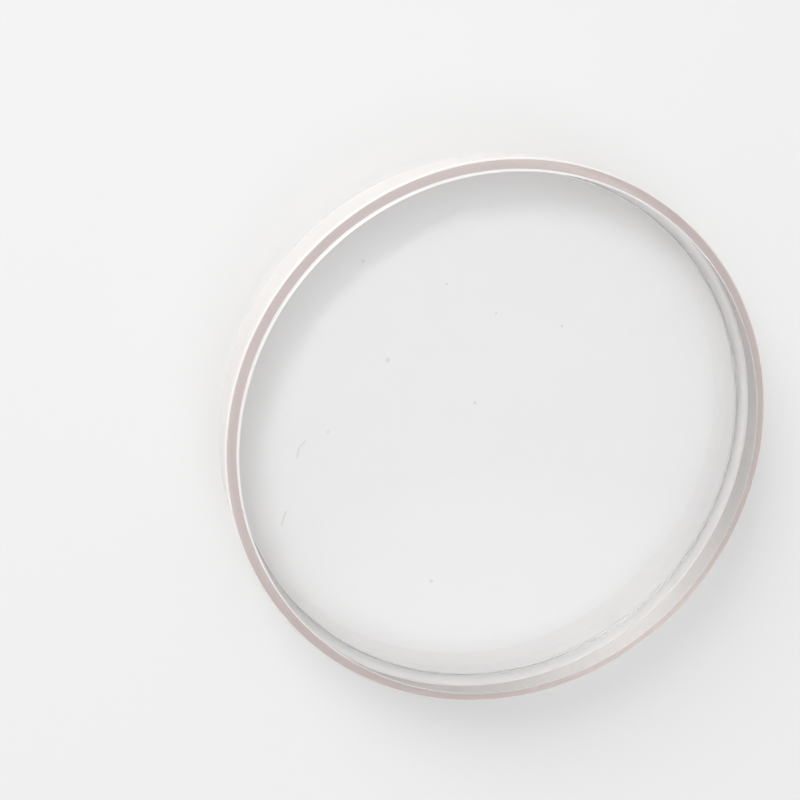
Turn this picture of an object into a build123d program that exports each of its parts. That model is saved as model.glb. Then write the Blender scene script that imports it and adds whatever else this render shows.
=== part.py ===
# Dental milling disc: a clear acrylic blank turned to a stepped rim.
# The disc lies on its lower face. +Z is its axis and points out of the upper face.
# All sizes are in millimetres.
import os

from build123d import *

# Driving dimensions
rim_diameter = 98.5  # the clamping rim, which the holder's ring closes round
rim_height = 10.0  # from one shoulder to the other
shoulder_width = 2.0  # flat ring between the rim's edge and the raised face
face_height = 1.0  # how far each face stands above its shoulder
face_edge_break = 0.25  # small bevel round each face
rim_edge_break = 0.35  # small bevel on the two edges of the rim
root_radius = 0.2  # left by the turning tool where a shoulder meets a raised face

# Heights that follow from them
lower_shoulder_z = face_height
upper_shoulder_z = lower_shoulder_z + rim_height
thickness = upper_shoulder_z + face_height

# Radii that follow from them
rim_radius = rim_diameter / 2
face_radius = rim_radius - shoulder_width

with BuildPart() as milling_disc:
    # Half of the section, from the axis out to the rim
    with BuildSketch(Plane.XZ):
        with BuildLine():
            Polyline(
                (0, 0),
                (face_radius, 0),
                (face_radius, lower_shoulder_z),
                (rim_radius, lower_shoulder_z),
                (rim_radius, upper_shoulder_z),
                (face_radius, upper_shoulder_z),
                (face_radius, thickness),
                (0, thickness),
                close=True,
            )
        make_face()
    revolve(axis=Axis.Z)

    # The six round edges: four on the faces' radius, two on the rim's
    round_edges = milling_disc.edges().filter_by(GeomType.CIRCLE)
    face_circles = round_edges.filter_by(lambda edge: abs(edge.radius - face_radius) < 1e-6)
    rim_circles = round_edges.filter_by(lambda edge: abs(edge.radius - rim_radius) < 1e-6)
    face_circles = face_circles.sort_by(Axis.Z)
    face_edges = [face_circles[0], face_circles[-1]]
    root_edges = face_circles[1:-1]

    # Tool radius in the two inner corners, then the outer edges broken
    fillet(root_edges, radius=root_radius)
    chamfer(face_edges, length=face_edge_break)
    chamfer(rim_circles, length=rim_edge_break)

milling_disc.part.label = "milling_disc"

os.makedirs("parts", exist_ok=True)
export_step(milling_disc.part, "parts/milling_disc.step")
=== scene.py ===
# %% [markdown]
# # A clear dental milling disc
#
# The object is a round blank of clear acrylic, about as thick as a finger. A milling machine grips
# it by the rim and cuts splints and crowns out of its middle.
# It is one turned piece: a flat polished face on each side, and between them a slightly wider rim
# with a satin, machined surface.
# The frame gives us the exact solid in metres, so the first step is only to load it and to note how
# much room it takes.

# %% Load the frame
import math

import bmesh
import bpy
from mathutils import Euler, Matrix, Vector


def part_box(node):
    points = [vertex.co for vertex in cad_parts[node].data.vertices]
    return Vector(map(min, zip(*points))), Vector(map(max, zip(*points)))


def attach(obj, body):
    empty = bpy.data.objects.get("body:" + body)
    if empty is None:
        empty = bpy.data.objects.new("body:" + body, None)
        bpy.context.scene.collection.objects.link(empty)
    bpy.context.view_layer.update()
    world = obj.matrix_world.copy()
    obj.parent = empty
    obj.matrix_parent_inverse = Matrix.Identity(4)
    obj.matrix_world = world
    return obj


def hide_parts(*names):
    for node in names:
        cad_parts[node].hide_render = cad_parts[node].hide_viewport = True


MM = 0.001

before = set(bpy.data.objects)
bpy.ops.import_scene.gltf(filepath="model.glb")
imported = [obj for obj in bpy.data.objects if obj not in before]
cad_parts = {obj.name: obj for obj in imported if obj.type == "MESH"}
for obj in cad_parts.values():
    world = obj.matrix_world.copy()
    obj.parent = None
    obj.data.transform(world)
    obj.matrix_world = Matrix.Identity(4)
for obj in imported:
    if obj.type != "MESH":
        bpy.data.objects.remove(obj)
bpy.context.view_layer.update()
disc_low, disc_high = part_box("milling_disc")
print("the disc's box in mm:", [round(c / MM, 2) for c in (*disc_low, *disc_high)])

# %% [markdown]
# The camera comes first, because everything else is judged through it.
# The photograph was taken from close by, so the far part of the rim looks narrower than the near
# part. A short distance with a matching lens repeats that.
# The photograph is also a part cut out of a wider one, so the camera did not point at the disc. A
# small lens shift repeats that: it moves the picture without turning the camera.
# The disc lies flat here, so the same view of it means looking down on it, turned so that the
# rim's outside shows at the picture's upper left.

# %% Camera
CAMERA_PLACE = Vector((-65.75, 59.25, 176.78)) * MM
CAMERA_TURN = Euler([math.radians(a) for a in (-10.386, -10.203, 0.0)])
CAMERA_LENS = 47.25
CAMERA_SHIFT = (0.12, -0.14)
SENSOR_WIDTH = 36.0
CLIP_START = 10 * MM

bpy.ops.object.camera_add(location=CAMERA_PLACE, rotation=CAMERA_TURN)
camera = bpy.context.object
camera.name = "camera"
camera.data.lens = CAMERA_LENS
camera.data.sensor_width = SENSOR_WIDTH
camera.data.shift_x, camera.data.shift_y = CAMERA_SHIFT
camera.data.clip_start = CLIP_START
bpy.context.scene.camera = camera
print("the camera is", round(CAMERA_PLACE.length / MM), "mm from the origin")

# %% [markdown]
# A turned part is a stack of circles. On a lathe the tool walks along the profile, and in edit mode
# we can do the same with one filled circle.
# We start with the lower face, extrude it upwards step by step, and scale each new ring to the
# radius that the profile has at that height.
# The alternative, spinning a profile line round the axis, gives the same shape, but its faces meet
# in a point at the middle, and a flat polished face is better as one clean polygon.
#
# The profile is a list of radius and height, in millimetres. The outer radius and the thickness
# come from the frame.
# The two inner corners have the small radius that a turning tool leaves, and the outer corners are
# broken with a short slope.

# %% The profile, from the lower face to the upper face
RIM_RADIUS = round(disc_high[0] / MM, 3)
THICKNESS = round(disc_high[2] / MM, 3)
SHOULDER_WIDTH = 2.0
FACE_HEIGHT = 1.0
FACE_BREAK = 0.25
RIM_BREAK = 0.35
ROOT = 0.2
ROOT_STEPS = 4
QUARTER_TURN = math.radians(90)

face_radius = RIM_RADIUS - SHOULDER_WIDTH


def root_corner():
    """Radius and height of each step of the rounded inner corner, from the face out to the shoulder."""
    corner = []
    for i in range(ROOT_STEPS + 1):
        a = QUARTER_TURN * i / ROOT_STEPS
        corner_radius = face_radius + ROOT * (1 - math.cos(a))
        corner_height = FACE_HEIGHT - ROOT * (1 - math.sin(a))
        corner.append((corner_radius, corner_height))
    return corner


face_corners = [(face_radius - FACE_BREAK, 0.0), (face_radius, FACE_BREAK)]
rim_corners = [(RIM_RADIUS - RIM_BREAK, FACE_HEIGHT), (RIM_RADIUS, FACE_HEIGHT + RIM_BREAK)]
lower_half = [*face_corners, *root_corner(), *rim_corners]
upper_half = [(r, THICKNESS - z) for r, z in reversed(lower_half)]
profile = lower_half + upper_half
print("rim radius", RIM_RADIUS, "thickness", THICKNESS, "rings", len(profile))

# %% [markdown]
# Now the circle itself. The outline of clear plastic shows every flat, so the circle has far more
# sides than a wheel or a cup would need.
# Each step is an extrusion straight up, followed by a resize about the axis.

# %% Turn the disc
SIDES = 512

bpy.ops.object.select_all(action="DESELECT")
radius, height = profile[0]
bpy.ops.mesh.primitive_circle_add(
    vertices=SIDES, radius=radius * MM, fill_type="NGON", location=(0, 0, height * MM)
)
disc = bpy.context.object
disc.name = "turned_disc"
bpy.ops.object.mode_set(mode="EDIT")
bpy.ops.mesh.select_mode(type="FACE")
bpy.ops.mesh.select_all(action="SELECT")
for next_radius, next_height in profile[1:]:
    rise = (0, 0, (next_height - height) * MM)
    bpy.ops.mesh.extrude_region_move(TRANSFORM_OT_translate={"value": rise})
    growth = next_radius / radius
    if growth != 1:
        bpy.ops.transform.resize(value=(growth, growth, 1), center_override=(0, 0, next_height * MM))
    radius, height = next_radius, next_height
bpy.ops.mesh.select_all(action="SELECT")
bpy.ops.mesh.normals_make_consistent(inside=False)
print("turned disc:", len(bmesh.from_edit_mesh(disc.data).faces), "faces")

# %% [markdown]
# A corner that is perfectly sharp catches no light, and on clear plastic the bright thread along
# each corner is half of the look.
# The slopes are there already, so what is left is a tiny round on each of their edges, a twentieth
# of a millimetre, as a cloth with polish leaves it.
# We pick those rings by their radius and height, and bevel them all at once.

# %% Round the corners
EDGE_ROUND = 0.05
ROUND_STEPS = 2
NEAR = 0.01

sharp_rings = face_corners + rim_corners
sharp_rings += [(r, THICKNESS - z) for r, z in sharp_rings]


def on_sharp_ring(vertex):
    """Whether a vertex lies on one of the rings that get a round."""
    r = vertex.co.xy.length / MM
    z = vertex.co.z / MM
    return any(abs(r - ring_r) < NEAR and abs(z - ring_z) < NEAR for ring_r, ring_z in sharp_rings)


bpy.ops.mesh.select_mode(type="EDGE")
bpy.ops.mesh.select_all(action="DESELECT")
shape = bmesh.from_edit_mesh(disc.data)
for edge in shape.edges:
    level = abs(edge.verts[0].co.z - edge.verts[1].co.z) < NEAR * MM
    edge.select_set(level and on_sharp_ring(edge.verts[0]) and on_sharp_ring(edge.verts[1]))
print("corner edges:", sum(edge.select for edge in shape.edges), "of", SIDES * len(sharp_rings))
bmesh.update_edit_mesh(disc.data)
bpy.ops.mesh.bevel(offset=EDGE_ROUND * MM, segments=ROUND_STEPS, affect="EDGES")
bpy.ops.object.mode_set(mode="OBJECT")

# %% [markdown]
# Smooth shading bends the light round the rim, but it must not bend it on the flats, or the view
# through the disc would swim.
# The Weighted Normal modifier does that: at each corner the large face wins, and only the tiny
# round turns from one face to the next.

# %% Smooth the round, keep the flat
SMOOTH_BELOW = math.radians(30)
CUBIC_CM = 1e-6

bpy.ops.object.shade_smooth_by_angle(angle=SMOOTH_BELOW)
bpy.ops.object.modifier_add(type="WEIGHTED_NORMAL")
disc.modifiers[-1].keep_sharp = True
bpy.ops.object.modifier_apply(modifier=disc.modifiers[-1].name)

shape = bmesh.new()
shape.from_mesh(disc.data)
print("open edges:", sum(not edge.is_manifold for edge in shape.edges))
print("volume in cm3:", round(shape.calc_volume() / CUBIC_CM, 2))
shape.free()

# %% [markdown]
# The disc has one material, acrylic, but the maker leaves it in several finishes: the two faces are
# polished clear, the short wall round each face is cut smooth, and the rim is satin from the lathe.
# Each finish gets its own material. All of them are the same plastic, so they share its refractive
# index, and they differ in roughness, in how much light they let through and in tint. The lilac on
# the upper shoulder and the warm tint on the rim's side are painted reflection, not colours of the
# plastic.

# %% A material of acrylic
ACRYLIC_IOR = 1.49


def acrylic(name, clearness):
    """A new material of the disc's plastic: its shader and its node tree.

    clearness is the share of the light that goes through and isn't scattered at the surface.
    """
    material = bpy.data.materials.new(name)
    material.use_nodes = True
    shader = material.node_tree.nodes["Principled BSDF"]
    shader.inputs["IOR"].default_value = ACRYLIC_IOR
    shader.inputs["Transmission Weight"].default_value = clearness
    disc.data.materials.append(material)
    return shader, material.node_tree


print("acrylic bends light with an index of", ACRYLIC_IOR)

# %% [markdown]
# The patterns on the disc are sums over the place of each point on it. Object coordinates give that
# place. They stay with the disc wherever it or the camera goes, so the patterns never slide.
# Such a sum could be wired by hand in the node editor. The helpers below wire it instead, so that
# the cells after them read like the sum itself, in millimetres, as the profile does.

# %% Sums over the surface
def set_or_link(tree, socket, value):
    """Gives a socket its value, which is another socket or plain numbers."""
    if isinstance(value, bpy.types.NodeSocket):
        tree.links.new(value, socket)
    else:
        socket.default_value = value


def vector_math(tree, operation, first, second=(0, 0, 0)):
    """A vector node on two values. Some operations use only the first."""
    node = tree.nodes.new("ShaderNodeVectorMath")
    node.operation = operation
    set_or_link(tree, node.inputs[0], first)
    set_or_link(tree, node.inputs[1], second)
    return node


def math_node(tree, operation, first, second):
    """A number node on two values."""
    node = tree.nodes.new("ShaderNodeMath")
    node.operation = operation
    set_or_link(tree, node.inputs[0], first)
    set_or_link(tree, node.inputs[1], second)
    return node.outputs["Value"]


def map_range(tree, value, before, after):
    """The value, brought from one range to another and held inside it."""
    node = tree.nodes.new("ShaderNodeMapRange")
    tree.links.new(value, node.inputs["Value"])
    node.inputs["From Min"].default_value, node.inputs["From Max"].default_value = before
    node.inputs["To Min"].default_value, node.inputs["To Max"].default_value = after
    return node.outputs["Result"]


def place_in_mm(tree):
    """The point on the surface, in the disc's own millimetres."""
    coordinates = tree.nodes.new("ShaderNodeTexCoord")
    scaled = vector_math(tree, "SCALE", coordinates.outputs["Object"])
    scaled.inputs["Scale"].default_value = 1 / MM
    return scaled.outputs["Vector"]


print("a metre on the disc counts as", round(1 / MM), "in a pattern")

# %% [markdown]
# The faces are polished until they are as clear as glass, but this disc has been handled. It has
# two fine scratches near its left edge and a few specks.
# A scratch could be cut into the mesh, but it is only a few hairs wide, and a mask in the material
# holds it as well: how far is the point on the surface from the line of the scratch?
# The same sum with a single point gives a speck. Both are on the upper face only, because the
# distance counts height as well.

# %% Scratches and specks on the upper face
SCRATCHES = [
    [(-35.9, 2.6), (-36.9, 1.5)],
    [(-36.9, 1.5), (-37.3, -0.2)],
    [(-39.2, -9.6), (-39.9, -11.9)],
]
SCRATCH_REACH = 0.18
SPECKS = [
    (-26.3, 32.7, 0.34),
    (-6.5, 7.7, 0.36),
    (-13.5, -24.3, 0.40),
    (-21.9, 15.9, 0.46),
    (-32.0, 4.0, 0.26),
    (-12.0, 28.5, 0.26),
    (-3.2, 23.2, 0.24),
    (8.7, 20.5, 0.26),
]
WHOLE = (0.0, 1.0)
WHOLE_DOWN = (1.0, 0.0)


def speck_mask(tree, place, x, y, reach):
    """1 at the middle of a speck and 0 where its reach ends."""
    away = vector_math(tree, "DISTANCE", place, (x, y, THICKNESS))
    return map_range(tree, away.outputs["Value"], (0.0, reach), WHOLE_DOWN)


def scratch_mask(tree, place, start, end):
    """1 along the line from start to end and 0 where the scratch's reach ends."""
    begin = Vector((*start, THICKNESS))
    run = Vector((*end, THICKNESS)) - begin
    offset = vector_math(tree, "SUBTRACT", place, begin).outputs["Vector"]
    along = vector_math(tree, "DOT_PRODUCT", offset, run / run.length_squared).outputs["Value"]
    nearest = vector_math(tree, "SCALE", run)
    tree.links.new(map_range(tree, along, WHOLE, WHOLE), nearest.inputs["Scale"])
    away = vector_math(tree, "DISTANCE", offset, nearest.outputs["Vector"])
    return map_range(tree, away.outputs["Value"], (0.0, SCRATCH_REACH), WHOLE_DOWN)


def all_marks(tree, place):
    """The strongest of all the scratches and specks at each point."""
    masks = [scratch_mask(tree, place, *ends) for ends in SCRATCHES]
    masks += [speck_mask(tree, place, *speck) for speck in SPECKS]
    marks = masks[0]
    for mask in masks[1:]:
        marks = math_node(tree, "MAXIMUM", marks, mask)
    return marks


print("marks on the upper face:", len(SCRATCHES), "scratch lines and", len(SPECKS), "specks")

# %% [markdown]
# A sum only makes numbers. They show once they end in the shader, as a colour, a roughness or a
# height. Roughness takes a number as it is, and the other two need a node between.
# The height could move the mesh itself, but marks this fine would need far more faces than the disc
# has. A bump only tilts the surface for the light, and that is all the eye would see of them.
# Noise is here too, because no real finish is quite even.

# %% Colour, noise and relief
def mix_colors(tree, shader, share, first, second):
    """Colours the shader: the first colour where share is 0, the second where it is 1."""
    node = tree.nodes.new("ShaderNodeMix")
    node.data_type = "RGBA"
    node.inputs["A"].default_value = (*first, 1)
    node.inputs["B"].default_value = (*second, 1)
    tree.links.new(share, node.inputs["Factor"])
    tree.links.new(node.outputs["Result"], shader.inputs["Base Color"])


def noise(tree, place, scale, detail, dimensions="3D"):
    """A cloudy pattern from 0 to 1. In one dimension, place is a number."""
    node = tree.nodes.new("ShaderNodeTexNoise")
    node.noise_dimensions = dimensions
    tree.links.new(place, node.inputs["W" if dimensions == "1D" else "Vector"])
    node.inputs["Scale"].default_value = scale
    node.inputs["Detail"].default_value = detail
    return node.outputs["Fac"]


def bump(tree, shader, height, depth_mm):
    """Raises the surface by up to depth_mm where the height socket is 1."""
    node = tree.nodes.new("ShaderNodeBump")
    node.inputs["Distance"].default_value = depth_mm * MM
    tree.links.new(height, node.inputs["Height"])
    tree.links.new(node.outputs["Normal"], shader.inputs["Normal"])


print("a relief of 1 mm is", MM, "m for the bump node")

# %% [markdown]
# The polished material lets everything through. Its roughness is nothing at all between the marks,
# apart from a few soft smears that wiping leaves, which hardly show unless a lamp is mirrored there.
# A mark is rough, it stands a little proud, and it is greyer than the plastic, so that it shows on
# a pale floor as well as on a dark one.

# %% The polished faces
MARK_ROUGHNESS = 0.45
MARK_DEPTH = 0.03
CLEAR = (1.0, 1.0, 1.0)
MARK_GREY = (0.46, 0.44, 0.43)
SMEAR_SCALE = 0.05
SMEAR_DETAIL = 3.0
SMEAR_CLOUDS = (0.55, 0.75)
SMEAR_ROUGHNESS = 0.035

polished, tree = acrylic("polished_face", clearness=1.0)
place = place_in_mm(tree)
marks = all_marks(tree, place)
clouds = noise(tree, place, SMEAR_SCALE, SMEAR_DETAIL)
smears = map_range(tree, clouds, SMEAR_CLOUDS, (0.0, SMEAR_ROUGHNESS))
mark_roughness = math_node(tree, "MULTIPLY", marks, MARK_ROUGHNESS)
rough = math_node(tree, "MAXIMUM", smears, mark_roughness)
tree.links.new(rough, polished.inputs["Roughness"])
mix_colors(tree, polished, marks, CLEAR, MARK_GREY)
bump(tree, polished, marks, MARK_DEPTH)
print("the polished material has", len(tree.nodes), "nodes")

# %% [markdown]
# The turned surfaces keep the track of the tool. On a lathe it runs round the axis, so the pattern
# changes only along the profile: outwards on a shoulder, and upwards on the rim's side.
# One number holds both: the radius plus the height. Noise in one dimension over that number gives
# rings, fine ones for the feed of the tool and broad ones for how it chattered and wore.
# The rings are cut so shallow that they hardly bend the light. They also darken the plastic a
# little, as the fine dust from turning does.
# A soft noise in three dimensions makes the finish a little uneven round the disc, as real satin
# is.

# %% Tool marks
FEED_SCALE = 3.5
FEED_DETAIL = 1.0
CHATTER_SCALE = 0.9
CHATTER_DETAIL = 2.0
CLOUD_SCALE = 0.12
CLOUD_DETAIL = 2.0
NOISE_SWING = (0.3, 0.7)
DUSTY = 0.95
HALF = 0.5
WITHOUT_HEIGHT = (1, 1, 0)


def average(tree, first, second):
    """The mean of two number sockets."""
    return math_node(tree, "MULTIPLY", math_node(tree, "ADD", first, second), HALF)


def turned_finish(name, color, clearness, roughness, spread, depth_mm):
    """A turned surface: its roughness lies within spread of a middle value."""
    shader, tree = acrylic(name, clearness)
    place = place_in_mm(tree)
    split = tree.nodes.new("ShaderNodeSeparateXYZ")
    tree.links.new(place, split.inputs["Vector"])
    flat = vector_math(tree, "MULTIPLY", place, WITHOUT_HEIGHT).outputs["Vector"]
    from_axis = vector_math(tree, "LENGTH", flat).outputs["Value"]
    along = math_node(tree, "ADD", from_axis, split.outputs["Z"])
    feed = noise(tree, along, FEED_SCALE, FEED_DETAIL, "1D")
    chatter = noise(tree, along, CHATTER_SCALE, CHATTER_DETAIL, "1D")
    cloudy = noise(tree, place, CLOUD_SCALE, CLOUD_DETAIL)
    rings = average(tree, feed, chatter)
    uneven = average(tree, rings, cloudy)
    rough = map_range(tree, uneven, NOISE_SWING, (roughness - spread, roughness + spread))
    tree.links.new(rough, shader.inputs["Roughness"])
    dust = map_range(tree, rings, NOISE_SWING, WHOLE)
    mix_colors(tree, shader, dust, color, [c * DUSTY for c in color])
    bump(tree, shader, rings, depth_mm)


print("rings of about", round(1 / FEED_SCALE, 2), "mm and", round(1 / CHATTER_SCALE, 2), "mm")

# %% [markdown]
# The rim's side is satin, because its fine grooves scatter half of the light. From outside it is
# nearly white, at the picture's upper left. From inside, through the clear face, the same side is
# the grey band just within the outline at the lower right.
# The upper shoulder is smoother, and its warm lilac is painted reflection: the colour of a pink thing
# nearby, thrown back by the plastic. The lower one is seen through the disc only, and it is the broad
# white band next to the grey one, without the painted lilac.
# The short walls round the faces are cut smooth and white. The upper one is the bright line at the
# upper left, and the lower one is the thin grey line at the lower right.

# %% The turned finishes
LATHE_DEPTH = 0.0005
CUT_DEPTH = 0.0002

# The faint warm tint in this colour is painted reflection, as on the upper shoulder; the near white is
# the satin's own.
turned_finish(
    "satin_rim_side_painted_tint",
    color=(0.98, 0.942, 0.922),
    clearness=0.48,
    roughness=0.50,
    spread=0.08,
    depth_mm=LATHE_DEPTH,
)
# The lilac in this colour is painted reflection; clear acrylic has no such tint of its own.
turned_finish(
    "smooth_shoulder_painted_reflection",
    color=(0.765, 0.645, 0.62),
    clearness=0.68,
    roughness=0.38,
    spread=0.04,
    depth_mm=LATHE_DEPTH,
)
turned_finish(
    "white_shoulder",
    color=(0.99, 0.985, 0.98),
    clearness=0.90,
    roughness=0.35,
    spread=0.06,
    depth_mm=LATHE_DEPTH,
)
turned_finish(
    "cut_face_wall",
    color=(0.98, 0.97, 0.965),
    clearness=0.50,
    roughness=0.30,
    spread=0.04,
    depth_mm=CUT_DEPTH,
)
print("finishes:", [material.name for material in disc.data.materials])

# %% [markdown]
# Which face gets which finish follows from its place: how far out it is, and whether it looks up
# or down, or sideways. Only the two polished faces have more than four corners.

# %% Give each face its finish
FACE, SIDE, UPPER_SHOULDER, LOWER_SHOULDER, WALL = range(5)
ORDINARY_CORNERS = 4
WALL_TILT = math.radians(50)

middle_height = THICKNESS * MM / 2


def finish_of(polygon):
    """The number of the finish that one face of the mesh has."""
    r = polygon.center.xy.length / MM
    if len(polygon.vertices) > ORDINARY_CORNERS:
        return FACE
    if r < face_radius:
        return WALL
    if r > RIM_RADIUS - RIM_BREAK:
        return SIDE
    if abs(polygon.normal.z) < math.cos(WALL_TILT):
        return WALL
    return UPPER_SHOULDER if polygon.center.z > middle_height else LOWER_SHOULDER


for polygon in disc.data.polygons:
    polygon.material_index = finish_of(polygon)
for index, material in enumerate(disc.data.materials):
    count = sum(polygon.material_index == index for polygon in disc.data.polygons)
    print(material.name, count, "faces")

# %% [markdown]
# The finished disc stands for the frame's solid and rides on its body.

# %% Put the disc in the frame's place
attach(disc, "root")
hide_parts("milling_disc")
print("the disc stands at", tuple(disc.location), "with scale", tuple(disc.scale))

# %% [markdown]
# The floor is a plain pale sheet, far larger than the view. It lies a hair's breadth under the
# disc, because two surfaces in the very same place would fight over each ray.

# %% Floor
FLOOR_SIZE = 6.0
FLOOR_GAP = 0.05
FLOOR_COLOR = (0.82, 0.82, 0.82, 1)
FLOOR_ROUGHNESS = 0.6

bpy.ops.mesh.primitive_plane_add(size=FLOOR_SIZE, location=(0, 0, -FLOOR_GAP * MM))
floor = bpy.context.object
floor.name = "floor"
floor_material = bpy.data.materials.new("pale_floor")
floor_material.use_nodes = True
floor_shader = floor_material.node_tree.nodes["Principled BSDF"]
floor_shader.inputs["Base Color"].default_value = FLOOR_COLOR
floor_shader.inputs["Roughness"].default_value = FLOOR_ROUGHNESS
floor.data.materials.append(floor_material)
print("the floor is", FLOOR_SIZE, "m wide")

# %% [markdown]
# Clear plastic is only as bright as what shines through it. The light has to find its way down
# through the disc to the floor and up again, and the renderer finds such paths by chance.
# Large, dim lamps and a bright, even sky give it a good chance. By default it also blurs sharp
# glass on such paths, which would take about two fifths of the light from the floor under the
# disc, so that blur is off.
# Light that is caught in the rim goes to and fro between its walls, so two more mirror bounces
# than usual are allowed, which makes the darkest lines in the rim a little lighter.
#
# The key light is a wide round softbox at the left, behind the disc. It stands low, so it lights
# the rim's side more than the floor, and the soft shadow falls to the lower right.
# A smaller one in front mirrors faintly in the polished face, which is how the eye knows that
# there is a face at all. It is narrowed to a cone, and that gives its mirror image soft edges.

# %% Sky and lamps
GLOSSY_BOUNCES = 6
SKY_COLOR = (1.0, 1.0, 1.0, 1)
SKY_STRENGTH = 0.765

bpy.context.scene.cycles.blur_glossy = 0.0
bpy.context.scene.cycles.glossy_bounces = GLOSSY_BOUNCES

sky = bpy.data.worlds.new("studio")
bpy.context.scene.world = sky
sky.use_nodes = True
sky_shader = sky.node_tree.nodes["Background"]
sky_shader.inputs["Color"].default_value = SKY_COLOR
sky_shader.inputs["Strength"].default_value = SKY_STRENGTH


def softbox(name, place, size, power, cone=180):
    """A round lamp at a place in metres, turned to the disc. cone is the width of its light."""
    bpy.ops.object.light_add(type="AREA", location=place)
    lamp = bpy.context.object
    lamp.name = name
    lamp.data.shape = "DISK"
    lamp.data.size = size
    lamp.data.energy = power
    lamp.data.spread = math.radians(cone)
    lamp.visible_camera = False
    lamp.rotation_euler = (-Vector(place)).to_track_quat("-Z", "Y").to_euler()
    print(name, "stands", round(Vector(place).length, 2), "m from the disc")


softbox("key", place=(-1.03, 1.49, 0.72), size=1.3, power=28.0)
softbox("front", place=(0.26, -0.56, 0.56), size=0.7, power=0.10, cone=46)

bpy.context.scene.view_settings.view_transform = "Standard"
